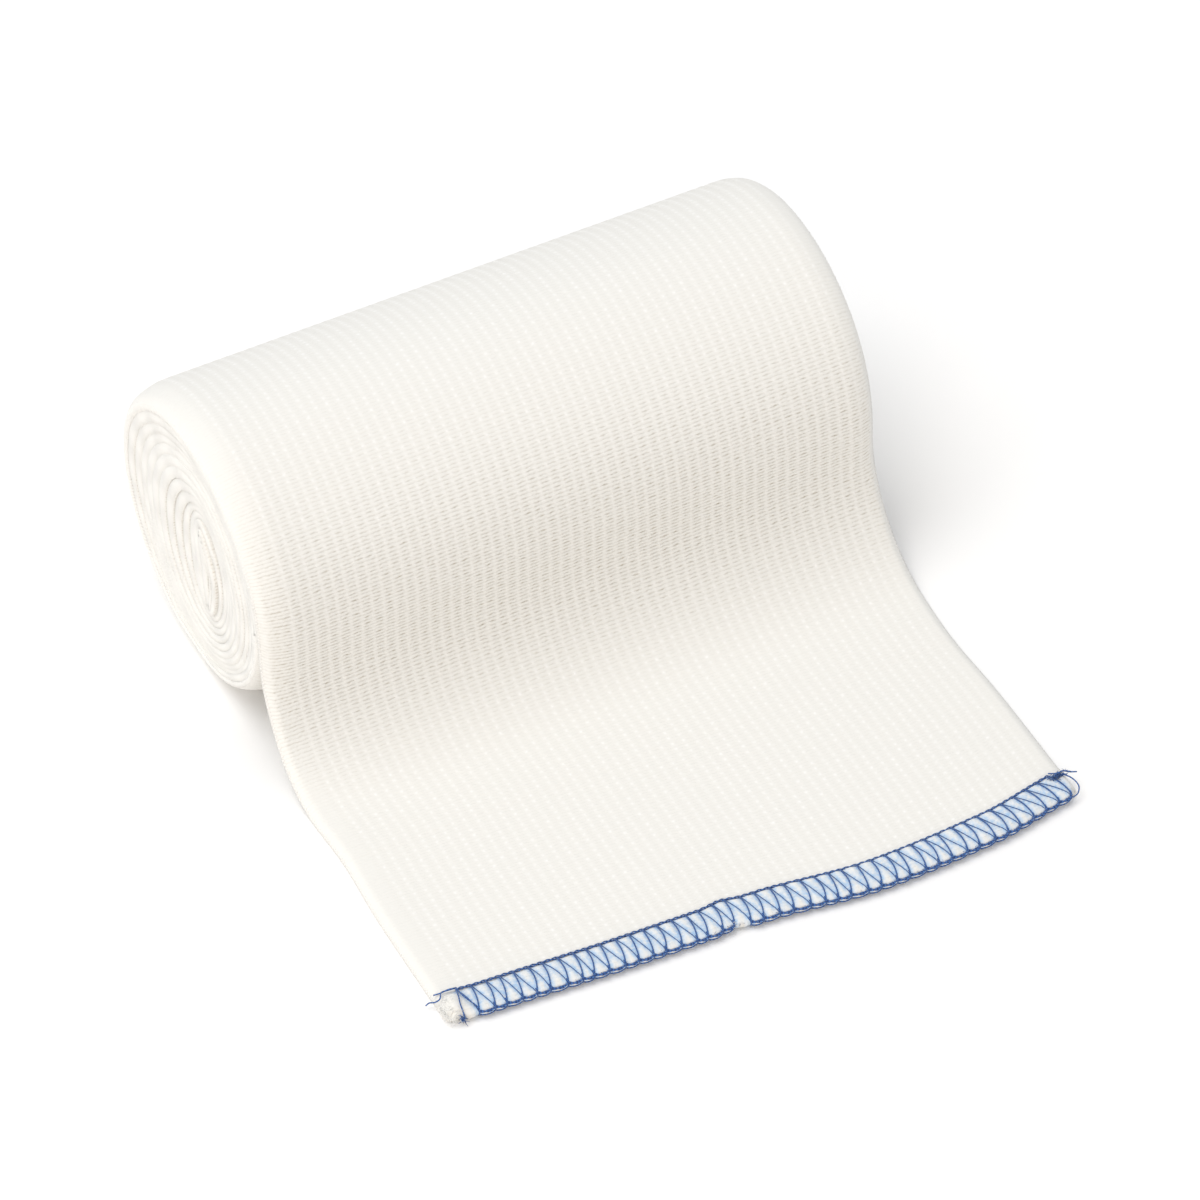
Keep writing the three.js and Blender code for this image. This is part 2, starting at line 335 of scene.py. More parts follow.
STEEP = throws(NODES[1:], KNOTS[1:], BOW)
SLANT = throws(NODES[:-1] + 0.1, KNOTS[1:] - 0.12, SAG)


def lobe(x):
    """The rim bulges out between two knots: 1 in the middle of a stitch, 0 at its knots."""
    return np.abs(np.sin(np.pi * np.interp(x, KNOTS, np.arange(len(KNOTS))))) ** 0.7


def thread_distance(x, v):
    """How far a point of the edging, x across and v from the cut, lies from the nearest thread."""
    inland = CHAIN_AT + (KNOT_AT - CHAIN_AT) * THROW
    line_x = np.concatenate([STEEP, SLANT]).ravel()
    line_v = np.tile(inland, len(STEEP) + len(SLANT))
    near = np.zeros(x.shape)
    for k in range(x.shape[0]):
        gap = np.hypot(x[k][:, None] - line_x[None, :], v[k][:, None] - line_v[None, :])
        near[k] = gap.min(1)
    return near


print(len(NODES), "stitches along the edge")

# %% [markdown]
# ## The outer cloth
# The edging squeezes the last 5 mm of the cloth and lifts them a little off the table. Towards the
# roll's ends the outer turns draw in, which gives the roll its soft shoulders. A subdivided plane with
# modifiers could come near this, but then its ribs wouldn't keep their count or their place, so every
# point is worked out: its section from the path, its place across, and what lifts or sinks it there.

# %% Shape of the outer cloth
SHOULDERS = {"left": {"run": 5.5, "drop": 1.5}, "right": {"run": 4.0, "drop": 1.0}}
WAIST = {"y": -50, "narrower": 0.6, "spread": 9}
PUFF, PINCH = 0.10, 0.16


def ease(value):
    value = np.clip(value, 0, 1)
    return value * value * (3 - 2 * value)


def turns_at(v):
    return np.interp(v, TURN_RUN, TURN_TABLE)


def on_roll(v):
    """0 on the loose end and 1 where the cloth is wound: the change takes 14 mm of the outer turn."""
    return ease((v - ROOT - 4) / 14)


def cloth_faces(v):
    """Upper face, outward normal and thickness of the outer cloth, v mm from its cut edge."""
    at = np.stack([np.interp(v, ALONG, axis) for axis in PATH.T], -1)
    normal = np.stack([np.interp(v, ALONG, axis) for axis in face_direction(PATH).T], -1)
    normal /= np.linalg.norm(normal, axis=1)[:, None]
    round_rim = np.sqrt(np.clip(1 - (1 - np.clip(v / RIM, 0, 1)) ** 2, 0, 1))
    band = ease((BAND + 2.5 - v) / 3.2)
    puff = PUFF * np.sin(np.pi * np.clip(v / BAND, 0, 1)) * (v < BAND)
    pinch = PINCH * np.exp(-((v - BAND) / 0.55) ** 2)
    banded = 2 * (RIM * round_rim + puff - pinch)
    wound = on_roll(v)
    thick = CLOTH * (1 - wound) + 0.99 * room(turns_at(v)) * wound
    thick = thick * (1 - band) + banded * band
    middle = (at[:, 1] - TABLE_CLOTH / 2) * (1 - band) + BAND_CENTRE * band
    height = np.where(v < FLAT_RUN * 0.8, middle + thick / 2, at[:, 1])
    return np.stack([at[:, 0], height], -1), normal, thick


LOBE = 0.45
LOBE_RUN = 1.6
CORNER = 1.7


def round_corners(u, v):
    """Draws the two square corners of the cut end in to quarter circles."""
    left = u < HALF
    side = np.where(left, u, WIDTH - u)
    du, dv = np.maximum(CORNER - side, 0), np.maximum(CORNER - v, 0)
    far = np.maximum(np.hypot(du, dv), 1e-9)
    pull = np.minimum(np.maximum(du, dv) / far, 1)
    side = np.where((du > 0) & (dv > 0), CORNER - du * pull, side)
    return np.where(left, side, WIDTH - side), np.where((du > 0) & (dv > 0), CORNER - dv * pull, v)


def place_across(u, v, yz):
    """Puts section points at their place across the bandage: skewed roll, waisted and wavy end."""
    flat_v = v
    narrow = HALF - WAIST["narrower"] * np.exp(-((yz[..., 0] - WAIST["y"]) / WAIST["spread"]) ** 2)
    u, v = round_corners(u, v)
    x = (u - HALF) / HALF
    skewed = np.clip(0.5 * v / FLAT_RUN, 0, 0.5) + 0.5 * np.clip((v - FLAT_RUN) / BEND_RUN, 0, 1)
    wave = np.clip(1 - v / FLAT_RUN, 0, 1) * (reach(np.clip(u - HALF, -HALF, HALF)) - float(reach(0)))
    wave = wave + LOBE * lobe(u - HALF) * np.clip(1 - v / LOBE_RUN, 0, 1) ** 2 - (v - flat_v)
    return np.stack([x * narrow, yz[..., 0] + SKEW * x * skewed - wave, yz[..., 1]], -1)


DRAWN_TURNS = 6


def drawn_in(u, turns):
    """How far the cloth draws in near the roll's two ends, most of all on the outer turns."""
    left = SHOULDERS["left"]["drop"] * np.clip(1 - u / SHOULDERS["left"]["run"], 0, 1) ** 2
    right = SHOULDERS["right"]["drop"] * np.clip(1 - (WIDTH - u) / SHOULDERS["right"]["run"], 0, 1) ** 2
    return (left + right) * np.clip(1 - turns / DRAWN_TURNS, 0, 1)


def shoulder(u, v):
    return drawn_in(u, turns_at(v)) * ease((v - FLAT_RUN - 0.6 * BEND_RUN) / 14)


PILLOW = 0.34
BARE_DOME = 0.3
EDGE_TAPER = {"run": 1.1, "drop": 0.7, "less_on_roll": 0.7}
FAR_AWAY = 9.0
TABLE_GAP = 0.02


def edge_taper(v):
    """Share of the thickness that the cloth's upper side loses at its very edge, less on the roll."""
    return EDGE_TAPER["drop"] * (1 - EDGE_TAPER["less_on_roll"] * on_roll(v))


def pillow_height(u, along, far):
    """The edging's cloth stands up between threads, and in a dome at the bare left corner."""
    inside = ease((along - 0.25) / 0.5) * ease((BAND - 0.15 - along) / 0.5)
    lumpy = 0.9 + 0.22 * np.sin(6.1 * u + 2.7 * along) * np.cos(4.9 * along - 2.3 * u)
    bare = ease((3.0 - u) / 1.5) * ease((u + 0.3) / 0.9) * ease((4.1 - along) / 1.6) * ease(along / 0.9)
    return PILLOW * lumpy * (1 - np.exp(-(far / 0.55) ** 2)) * inside + BARE_DOME * bare


def corner_slope(u, along):
    """Factor on the height that rounds the bare left corner down to the table."""
    corner = ease((3.4 - u) / 1.4) * ease((5.0 - along) / 1.5)
    return 1 - 0.5 * corner * (1 - np.sqrt(1 - (1 - np.clip(np.minimum(u, along) / 2.0, 0, 1)) ** 2))


def outer_grid(v, ring_u, depth, edge):
    """Ring after ring of points, and how near each of the edging's points is to a blue thread."""
    at, normal, thick = cloth_faces(v)
    u, along = np.broadcast_arrays(ring_u[None, :], v[:, None])
    near_edge = np.clip(1 - np.minimum(ring_u, WIDTH - ring_u) / EDGE_TAPER["run"], 0, 1) ** 2
    sink = depth[None, :] * thick[:, None] + shoulder(u, along)
    sink = sink + (1 - depth)[None, :] * near_edge[None, :] * thick[:, None] * edge_taper(v)[:, None]
    far = np.full(u.shape, FAR_AWAY)
    banded = v < BAND + 1
    far[banded] = thread_distance(u[banded] - HALF, along[banded])
    relief = knit_relief(u, along) * ease((along - 0.2) / 0.8) + pillow_height(u, along, far)
    sink = sink - relief * (depth == 0)[None, :]
    yz = at[:, None, :] - normal[:, None, :] * sink[..., None]
    yz[..., 1] = np.maximum(yz[..., 1] * corner_slope(u, along), TABLE_GAP)
    points = place_across(u, along, yz)
    points[..., 0] += edge[None, :]
    return points, u, along, np.exp(-(far / 0.6) ** 2) * (along < BAND)


EDGE_BULGE = 0.3
NORMAL_REACH = 0.15


def outer_cloth(name, v, per_wale=4, under_steps=4 * WALES):
    """A closed strip of the outer cloth over the distances v from the cut edge.

    Its normals come from the surface just before and behind each ring, so that two strips which
    meet show no seam.
    """
    upper_u = np.linspace(0, WIDTH, WALES * per_wale + 1)
    under_u = np.linspace(WIDTH, 0, under_steps + 1)
    ring_u = np.concatenate([upper_u, [WIDTH], under_u, [0]])
    depth = np.concatenate([np.zeros(len(upper_u)), [0.5], np.ones(len(under_u)), [0.5]])
    edge = np.concatenate([np.zeros(len(upper_u)), [EDGE_BULGE], np.zeros(len(under_u)), [-EDGE_BULGE]])
    points, u, along, tint = outer_grid(v, ring_u, depth, edge)
    before, after = (outer_grid(np.maximum(v + shift, 0), ring_u, depth, edge)[0]
                     for shift in (-NORMAL_REACH, NORMAL_REACH))
    round_ring = np.roll(points, -1, 1) - np.roll(points, 1, 1)
    normals = np.cross(round_ring, after - before)
    normals /= np.maximum(np.linalg.norm(normals, axis=2), 1e-9)[..., None]
    faces = ring_faces(len(v), len(ring_u), mirrored=under_steps == WALES * per_wale)
    piece = new_piece(name, points.reshape(-1, 3), faces, u.ravel(), along.ravel(), normals.reshape(-1, 3))
    layer = piece.data.attributes.new("thread_tint", "FLOAT", "POINT")
    layer.data.foreach_set("value", tint.ravel())
    return piece


SPLIT = round(ROOT / ROW) * ROW
FINE_ROWS = 12 * ROW
edge_rows = np.concatenate([[0.0, 0.05, 0.13, 0.22], np.arange(ROW / 2, FINE_ROWS, ROW / 2)])
loose_rows = np.concatenate([edge_rows, np.arange(FINE_ROWS, SPLIT + 0.01, ROW)])
loose_end = outer_cloth("loose_end_cloth", loose_rows)
roll_rows = np.append(np.arange(SPLIT, OUTER_LENGTH - 0.3, ROW), OUTER_LENGTH)
outer_turn = outer_cloth("outer_turn_cloth", roll_rows, under_steps=8)

# %% [markdown]
# ## The wound turns
# Inside the outer turn lie about twelve more. They show only as edges on the two ends, so the strip
# has few points across and many along. Grooves cut into a solid end would look the same from afar,
# but a real strip also shades as one, and the turns stay apart. Its thickness follows the room between
# neighbouring turns, and its edges step in and out a little, as hand-wound turns do.

# %% Wound turns
def wound_strip(first, last, step=0.285):
    fine = np.linspace(first, last, 40000)
    run = np.concatenate([[0], np.cumsum(np.linalg.norm(np.diff(winding(fine), axis=0), axis=1))])
    turns = np.interp(np.arange(0, run[-1], step), run, fine)
    thick = np.minimum(0.99 * room(turns), 0.98 * turn_shape(turns / TURNS)[2])
    return turns, np.arange(len(turns)) * step, winding(turns), thick


OVERLAP = 0.006
INNER_END = TURNS + 0.85
DISH = {-1: 1.0, 1: 0.9}
PLUMP_CORE = {"height": 0.5, "from_turn": 10.6, "over": 1.2}


def end_inset(turns, side):
    """How far the cloth's edge lies in from the full width: hand-wound wander and dished core."""
    share = np.clip(turns / TURNS, 0, 1)
    wander = 0.2 * np.sin(0.9 * turns + side) + 0.03 * np.sin(5.3 * turns + 2 * side)
    plump = PLUMP_CORE["height"] * ease((turns - PLUMP_CORE["from_turn"]) / PLUMP_CORE["over"])
    return -0.1 + DISH[side] * share ** 2 - plump + wander * ease((turns - 1) / 2)


turns, run, outer, thick = wound_strip(1 - OVERLAP, INNER_END)
normal = face_direction(outer)
normal *= np.sign(normal[0] @ (outer[0] - np.array([0, CENTRE_HEIGHT])))
left, right = (HALF - end_inset(turns, side) for side in (-1, 1))
loop = 0.06 * np.cos(2 * np.pi * run / ROW)
RING = [
    {"side": -1, "in": 0.16, "depth": 0.0}, {"side": -1, "in": 0.04, "depth": 0.05},
    {"side": -1, "in": 0.0, "depth": 0.5}, {"side": -1, "in": 0.04, "depth": 0.95},
    {"side": -1, "in": 0.16, "depth": 1.0}, {"side": 1, "in": 0.16, "depth": 1.0},
    {"side": 1, "in": 0.04, "depth": 0.95}, {"side": 1, "in": 0.0, "depth": 0.5},
    {"side": 1, "in": 0.04, "depth": 0.05}, {"side": 1, "in": 0.16, "depth": 0.0},
]
rings = []
for place in RING:
    half = left if place["side"] < 0 else right
    x = place["side"] * (half - place["in"] + loop)
    drop = drawn_in(HALF + place["side"] * (HALF - place["in"]), turns)
    yz = outer - normal * (thick * place["depth"] + drop)[:, None]
    rings.append(np.stack([x, yz[:, 0] + SKEW * x / HALF, yz[:, 1]], -1))
points = np.stack(rings, 1)
faces = ring_faces(len(turns), len(RING))
across = np.broadcast_to(np.array([HALF + p["side"] * (HALF - p["in"]) for p in RING]), points.shape[:2])
along = np.broadcast_to(run[:, None], points.shape[:2])
wound_turns = new_piece("wound_turns", points.reshape(-1, 3), faces, across.ravel(), along.ravel())
print(f"{run[-1] / 1000:.2f} m of cloth in the inner turns")

# %% [markdown]
# ## Threads
# A thread is a tube along a line of points. All threads of one kind have equally many points, so one
# function makes them together, as one mesh.

# %% Tube helper
def tubes(lines, radius, sides, guide):
    """Closed tubes along many lines at once: lines is (count, points, 3), guide isn't along them."""
    lines = np.asarray(lines, float)
    count, steps, _ = lines.shape
    tangent = np.gradient(lines, axis=1)
    tangent /= np.linalg.norm(tangent, axis=2)[..., None]
    side = np.cross(tangent, np.asarray(guide, float))
    side /= np.linalg.norm(side, axis=2)[..., None]
    up = np.cross(side, tangent)
    angle = 2 * np.pi * np.arange(sides) / sides
    radius = np.broadcast_to(radius, (steps,))[None, :, None, None]
    offset = side[:, :, None] * np.cos(angle)[None, None, :, None]
    offset = offset + up[:, :, None] * np.sin(angle)[None, None, :, None]
    points = (lines[:, :, None] + radius * offset).reshape(-1, 3)
    one = ring_faces(steps, sides)
    faces = [[index + first * steps * sides for index in face] for first in range(count) for face in one]
    piece_length = np.linalg.norm(np.diff(lines, axis=1), axis=2)
    length = np.concatenate([np.zeros((count, 1)), np.cumsum(piece_length, 1)], 1)
    around = np.broadcast_to(angle, (count, steps, sides))
    along = np.broadcast_to(length[..., None], (count, steps, sides))
    return points, faces, around.ravel(), along.ravel()


def joined(parts):
    """One set of points and faces from several."""
    points, faces, around, along, first = [], [], [], [], 0
    for p, f, a, b in parts:
        faces += [[index + first for index in face] for face in f]
        points.append(p)
        around.append(a)
        along.append(b)
        first += len(p)
    return np.concatenate(points), faces, np.concatenate(around), np.concatenate(along)


def through(points, steps):
    """A smooth line through given points."""
    p = np.asarray(points, float)
    p = np.concatenate([[2 * p[0] - p[1]], p, [2 * p[-1] - p[-2]]])
    t = np.linspace(0, len(p) - 3, steps)
    k = np.minimum(t.astype(int), len(p) - 4)
    f = (t - k)[:, None]
    a, b, c, d = p[k], p[k + 1], p[k + 2], p[k + 3]
    return 0.5 * (2 * b + (c - a) * f + (2 * a - 5 * b + 4 * c - d) * f ** 2 + (3 * b - a - 3 * c + d) * f ** 3)


# %% [markdown]
# ## Overlock stitches
# On top every stitch shows a steep thread and a slanting
# one, which meet at the rim in a knot, and the knots are joined by a plump chain that bulges outwards.

# %% Helper for points on the edging
HALF_RIM = RIM * math.pi / 2


def over_band(x, way, lift):
    """A point on the band: way mm from the foremost line, below 0 on top and above 0 underneath."""
    x, way, lift = np.broadcast_arrays(np.asarray(x, float), way, lift)
    turned = np.clip(way / RIM, -math.pi / 2, math.pi / 2)
    inland = np.maximum(np.abs(way) - HALF_RIM, 0)
    puff = PUFF * np.sin(np.pi * np.clip((inland + RIM) / BAND, 0, 1))
    rise = RIM + lift + puff
    away = RIM + inland - (RIM + lift) * np.cos(turned)
    z = BAND_CENTRE - rise * np.sin(turned)
    return np.stack([x, away - reach(np.clip(x, -HALF, HALF)), z], -1)


TOP_WAY = -(CHAIN_AT - RIM + HALF_RIM)
RIM_WAY = -KNOT_AT

# %% [markdown]
# The single threads could be drawn as a pattern on a smooth band, but they stand off the cloth and
# cast small shadows, so each is a tube. A thread's way is given in millimetres over the band, and its
# lift is how far its middle stands off the cloth, so that no thread sinks in or floats.

# %% Stitch threads
LIFT = {"steep": 0.13, "slant": 0.08, "rim": 0.1, "rim_under": 0.07, "knots": 0.13, "chain": 0.06,
        "under": 0.04}
ARCH = 0.10
PAIR = {"rim": 0.11, "chain": 0.13}
MISSED_STITCH = -6.9
SIDES = 6
ACROSS, UPRIGHT = (1, 0, 0), np.array([0, 0, 1.0])


def needle_to_rim(x, lift):
    way = TOP_WAY + (RIM_WAY - TOP_WAY) * THROW[None, :]
    return over_band(x, way, lift + ARCH * np.sin(np.pi * THROW))


def twisted_pair(start, end, bulge, radius, steps, turns, lift):
    """Two threads wound round each other from start to end along the rim or the chain line."""
    t = np.linspace(0, 1, steps)[None, :]
    lines = []
    for phase in (0, math.pi):
        twist = 2 * np.pi * turns * t + phase
        x = start[0][:, None] + (end[0] - start[0])[:, None] * t
        way = start[1] + (end[1] - start[1]) * t + radius * np.cos(twist)
        points = over_band(x, way, lift + radius * np.sin(twist))
        points[..., 1] -= bulge * np.sin(np.pi * t) ** 0.7
        lines.append(points)
    return np.concatenate(lines)


def between(start, end, share):
    """Lines from each start to its end, at the given shares of the way."""
    return start[:, None] + (end - start)[:, None] * share[None]


steep = needle_to_rim(STEEP, LIFT["steep"])
slant = needle_to_rim(SLANT, LIFT["slant"])
missed = int(np.argmin(np.abs(KNOTS - MISSED_STITCH)))
starts = np.array([k for k in range(1, len(KNOTS) - 1) if k != missed])
rim = twisted_pair((KNOTS[starts], RIM_WAY), (KNOTS[starts + 1], RIM_WAY), LOBE, PAIR["rim"], 15, 1.0,
                   LIFT["rim"])
share = np.linspace(0, 1, 11)
rim_under = over_band(between(KNOTS[starts], KNOTS[starts + 1], share), 0.45, LIFT["rim_under"])
rim_under[..., 1] -= 0.8 * LOBE * np.sin(np.pi * share)[None] ** 0.7
knots = over_band(KNOTS[1:, None], np.linspace(-0.85, 0.5, 6)[None], LIFT["knots"])
chain = twisted_pair((NODES[:-1], TOP_WAY), (NODES[1:], TOP_WAY), 0.0, PAIR["chain"], 13, 1.0, LIFT["chain"])
share = np.linspace(0, 1, 10)
under_way = (-RIM_WAY + (-TOP_WAY + RIM_WAY) * share)[None]
under = over_band(between(KNOTS[1:], NODES[1:], share), under_way, LIFT["under"])
parts = [
    tubes(steep, THREAD_RADIUS, SIDES, ACROSS), tubes(slant, 0.6 * THREAD_RADIUS, SIDES, ACROSS),
    tubes(rim, 0.12, SIDES, UPRIGHT), tubes(rim_under, 0.13, SIDES, UPRIGHT),
    tubes(knots, 0.15, SIDES, ACROSS), tubes(chain, THREAD_RADIUS, SIDES, UPRIGHT),
    tubes(under, 0.8 * THREAD_RADIUS, SIDES, ACROSS),
]
print(len(steep), "steep threads,", len(starts), "stretches of rim")

# %% [markdown]
# The stitching starts and ends with loose tails. On the left the first threads miss the rim, so the
# cloth's corner stands bare, and on the right the last loop runs wide round the corner. Threads that
# lie as they fell follow no formula, so each has a few listed points, with a smooth line through
# them.

# %% Tails and loops at the two corners
y_at = lambda x, inland: inland - float(reach(np.clip(x, -HALF, HALF)))
FIRST_Y = y_at(FIRST_NODE, CHAIN_AT)
TAILS = {
    "left_upper": [(-46.9, FIRST_Y, 2.05), (-48.0, FIRST_Y + 0.2, 2.0), (-49.0, -80.3, 1.8),
                   (-50.0, -79.9, 1.4)],
    "left_lower": [(-46.9, FIRST_Y - 0.1, 2.1), (-48.2, FIRST_Y + 0.1, 2.0), (-48.9, -80.3, 1.9),
                   (-49.4, -81.0, 2.2), (-49.8, -81.5, 2.0), (-50.4, -81.2, 1.4), (-51.0, -80.6, 1.0),
                   (-51.6, -80.7, 0.8)],
    "left_dropped": [(-46.9, FIRST_Y, 2.1), (-47.4, -82.6, 2.55), (-47.8, -83.9, 2.55), (-47.9, -84.9, 2.1),
                     (-47.9, -85.5, 1.4), (-48.1, -85.7, 0.9)],
    "first_slant": [(-46.8, FIRST_Y, 2.1), (-46.8, -82.4, 2.45), (-46.4, -83.9, 2.45), (-45.8, -84.9, 2.1),
                    (-45.6, -85.4, 1.5)],
    "right_loop": [(47.4, y_at(47.4, CHAIN_AT), 2.2), (48.9, -82.6, 2.3), (50.1, -83.7, 2.0),
                   (50.5, -85.2, 1.6), (49.8, -86.3, 1.3), (48.8, -86.6, 1.2)],
    "right_tail": [(48.2, -82.5, 2.4), (49.4, -82.5, 2.6), (50.6, -83.1, 2.4), (51.3, -83.2, 2.2)],
}
for points in TAILS.values():
    parts.append(tubes(through(points, 22)[None], THREAD_RADIUS, SIDES, UPRIGHT))
print(len(TAILS), "tails and loops")

# %% [markdown]
# Where a thread or a yarn was cut, its fibres stand out in a tuft, and the cut edge of cotton is never
# without lint. Hair would do for that, but tubes are plain mesh and go with the part. A real fibre is
# 0.02 mm thick, too fine to show, so these are drawn two to three times as coarse.

# %% Tufts where threads were cut
def tuft(centre, spread, count, length, towards=(0, 0, 0), radius=0.06):
    """Short cut fibres that stand out round a point."""
    start = np.array(centre) + rng.normal(0, 1, (count, 3)) * spread
    way = rng.normal(0, 1, (count, 3)) * np.array([1, 1, 0.6]) * 0.6 + np.array(towards)
    way /= np.linalg.norm(way, axis=1)[:, None]
    curl = rng.normal(0, 0.3, (count, 1, 3))
    t = np.linspace(0, 1, 4)[None, :, None]
    lines = start[:, None] + (way[:, None] * t + curl * t * t) * length * rng.uniform(0.5, 1.2, (count, 1, 1))
    lines[..., 2] = np.maximum(lines[..., 2], 0.12)
    return tubes(lines, np.array([1, 0.9, 0.7, 0.3]) * radius, 4, (0.3, 0.5, 0.81))


LEFT_CUT, RIGHT_CUT = (-48.1, -85.4, 1.1), (48.3, -82.6, 2.2)
parts.append(tuft(LEFT_CUT, (0.15, 0.2, 0.25), 40, 0.6, (0.1, -0.6, -0.2), 0.06))
parts.append(tuft(RIGHT_CUT, (0.7, 0.18, 0.12), 160, 0.6, (1.1, -0.1, 0), 0.05))
FUZZ = 420
along_rim = over_band(rng.uniform(FIRST_NODE + 2, LAST_NODE + 0.8, FUZZ), RIM_WAY, 0.15)
parts.append(tuft(along_rim, 0.1, FUZZ, 0.4, (0, -0.5, 0.1), 0.03))
stitches = new_piece("overlock_stitches", *joined(parts))

fluff = [
    tuft((-48.9, -83.3, 2.05), (0.7, 1.0, 0.12), 70, 0.7, (-0.4, -0.3, 0.3), 0.035),
    tuft((-50.0, -83.2, 1.1), (0.2, 1.0, 0.3), 90, 0.6, (-0.8, -0.2, 0.1), 0.035),
    tuft((-49.0, -85.0, 1.0), (0.7, 0.25, 0.3), 60, 0.6, (-0.1, -0.8, 0.1), 0.035),
    tuft((-46.5, -84.9, 0.9), (0.5, 0.2, 0.3), 40, 0.5, (0, -0.8, 0.1), 0.04),
    tuft((-6.4, -86.6, 1.2), (0.4, 0.3, 0.3), 30, 0.6, (0, -0.8, 0.1), 0.04),
]
lint = new_piece("corner_lint", *joined(fluff))

# %% [markdown]
# ## Edge loops
# Where a cross thread turns back at the side of the bandage it makes a tiny loop. The loops give the
# two edges their fine ladder look, so each is a short bent tube over the edge of the cloth. They lie
# on the same surface as the cloth does, because they ask the same functions for their places.

# %% Edge loops
LOOP = {"out": 0.24, "set_in": 0.1, "half_depth": 0.42, "radius": 0.15, "sides": 5}


def edge_loops(v_first, v_last):
    v = np.arange(v_first, v_last, ROW)
    bend_angle = np.linspace(-0.5 * math.pi, 0.5 * math.pi, 6)
    lines = []
    for side in (-1, 1):
        at, normal, thick = cloth_faces(v)
        size = 1 + 0.25 * rng.uniform(-1, 1, len(v))
        depth = 0.5 - LOOP["half_depth"] * np.sin(bend_angle)[None, :] + 0 * v[:, None]
        out = LOOP["out"] * np.cos(bend_angle)[None, :] * size[:, None] - LOOP["set_in"]
        u = np.full_like(depth, 0.0 if side < 0 else WIDTH)
        along = v[:, None] + 0.1 * np.sin(2 * bend_angle)[None, :]
        sink = (depth + (1 - depth) * edge_taper(v)[:, None]) * thick[:, None] + shoulder(u, along)
        yz = at[:, None, :] - normal[:, None, :] * sink[..., None]
        points = place_across(u, along, yz)
        points[..., 0] += side * out
        points[..., 2] = np.maximum(points[..., 2], 0.2)
        lines.append(points)
    return tubes(np.concatenate(lines), LOOP["radius"], LOOP["sides"], (0.05, 0.3, 0.95))


selvedge = new_piece("edge_loops", *edge_loops(BAND + 1, OUTER_LENGTH))

# %% [markdown]
# ## Materials
# Colours are given as sRGB hex, the way a colour picker shows them, and one function turns them to
# the linear values that a renderer adds up. One small function adds any shader node with its settings
# and links, so that a material reads as a list of what its surface does.

# %% Colour and node helpers
def linear(hex_colour):
    channels = [int(hex_colour[i:i + 2], 16) / 255 for i in (1, 3, 5)]
    return [c / 12.92 if c <= 0.04045 else ((c + 0.055) / 1.055) ** 2.4 for c in channels] + [1.0]


def new_material(name):
    material = bpy.data.materials.new(name)
    material.use_nodes = True
    material.node_tree.nodes.clear()
    print("material", name)
    return material


def add_node(material, kind, *values, settings=None, **inputs):
    """Adds a node, such as "TexNoise" or "Math MULTIPLY", with its settings, values and links.

    Values fill the inputs in order. Named ones go by the input's name, or by its number, as in i6.
    A link is a node, which stands for its first output, or a pair of a node and an output.
    """
    kind, _, operation = kind.partition(" ")
    node = material.node_tree.nodes.new("ShaderNode" + kind)
    if operation:
        node.operation = operation
    for key, value in (settings or {}).items():
        setattr(node, key, value)
    named = [(int(key[1:]) if key[1:].isdigit() else key.replace("_", " "), inputs[key]) for key in inputs]
    for place, value in [*enumerate(values), *named]:
        if hasattr(value, "outputs"):
            value = (value, 0)
        if isinstance(value, tuple) and hasattr(value[0], "outputs"):
            material.node_tree.links.new(value[0].outputs[value[1]], node.inputs[place])
        else:
            node.inputs[place].default_value = value
    return node

# %% [markdown]
# ### Ribbed elastic cotton
# The cloth is bleached cotton and a little elastane, warp-knitted and never pressed. Spun cotton is
# matt and slightly fuzzy, so it is rough with a thin sheen. Between two cross threads there is a slit,
# whose shade is painted into the colour, and the ribs cover a part of each: that makes rows of short
# dark dashes. Every other slit gets deeper painted shade, and a slanting yarn adds to it. A pattern
# worked out from the rows and ribs keeps their real size. The painted shade in the slits is darker where
# the cloth stands upright, because there the lamps no longer shine into them. The valleys between ribs
# get a little painted shade, and the knots a painted highlight.

# %% Look of the knit
# Lengths in mm, noise scales in features to a mm, and the rest shares of full strength
KNIT_LOOK = {
    "wander_scale": 0.7, "wander_along": 0.30, "wander_across": 0.35, "thread_fullness": 0.7,
    "rib_narrow": 1.8, "rib_hides_slit": 0.45, "rib_hides_thread": 0.5,
    "patch_scale": 1.3, "every_other_slit": 0.25, "slanting_yarn": 0.09, "painted_valley_shade": 0.025,
    "knot_narrow": 4.0, "knot_short": 2.0, "knot_high": 0.5, "knot_painted_highlight": 0.35,
    "fuzz_scale": 5.0, "fuzz_high": 0.5, "relief": 0.115, "tint_scale": 1.6,
}
UPRIGHT_BUMP = {"power": 1.5, "more": 0.55, "least": 0.4}
UPRIGHT_SHADE = {"power": 3.0, "more": 0.44, "least": 0.02}
COLOUR_MIX = {"data_type": "RGBA"}
print(f"a slit every {ROW} mm, a rib every {WALE:.2f} mm, threads {KNIT_LOOK['relief']} mm high")

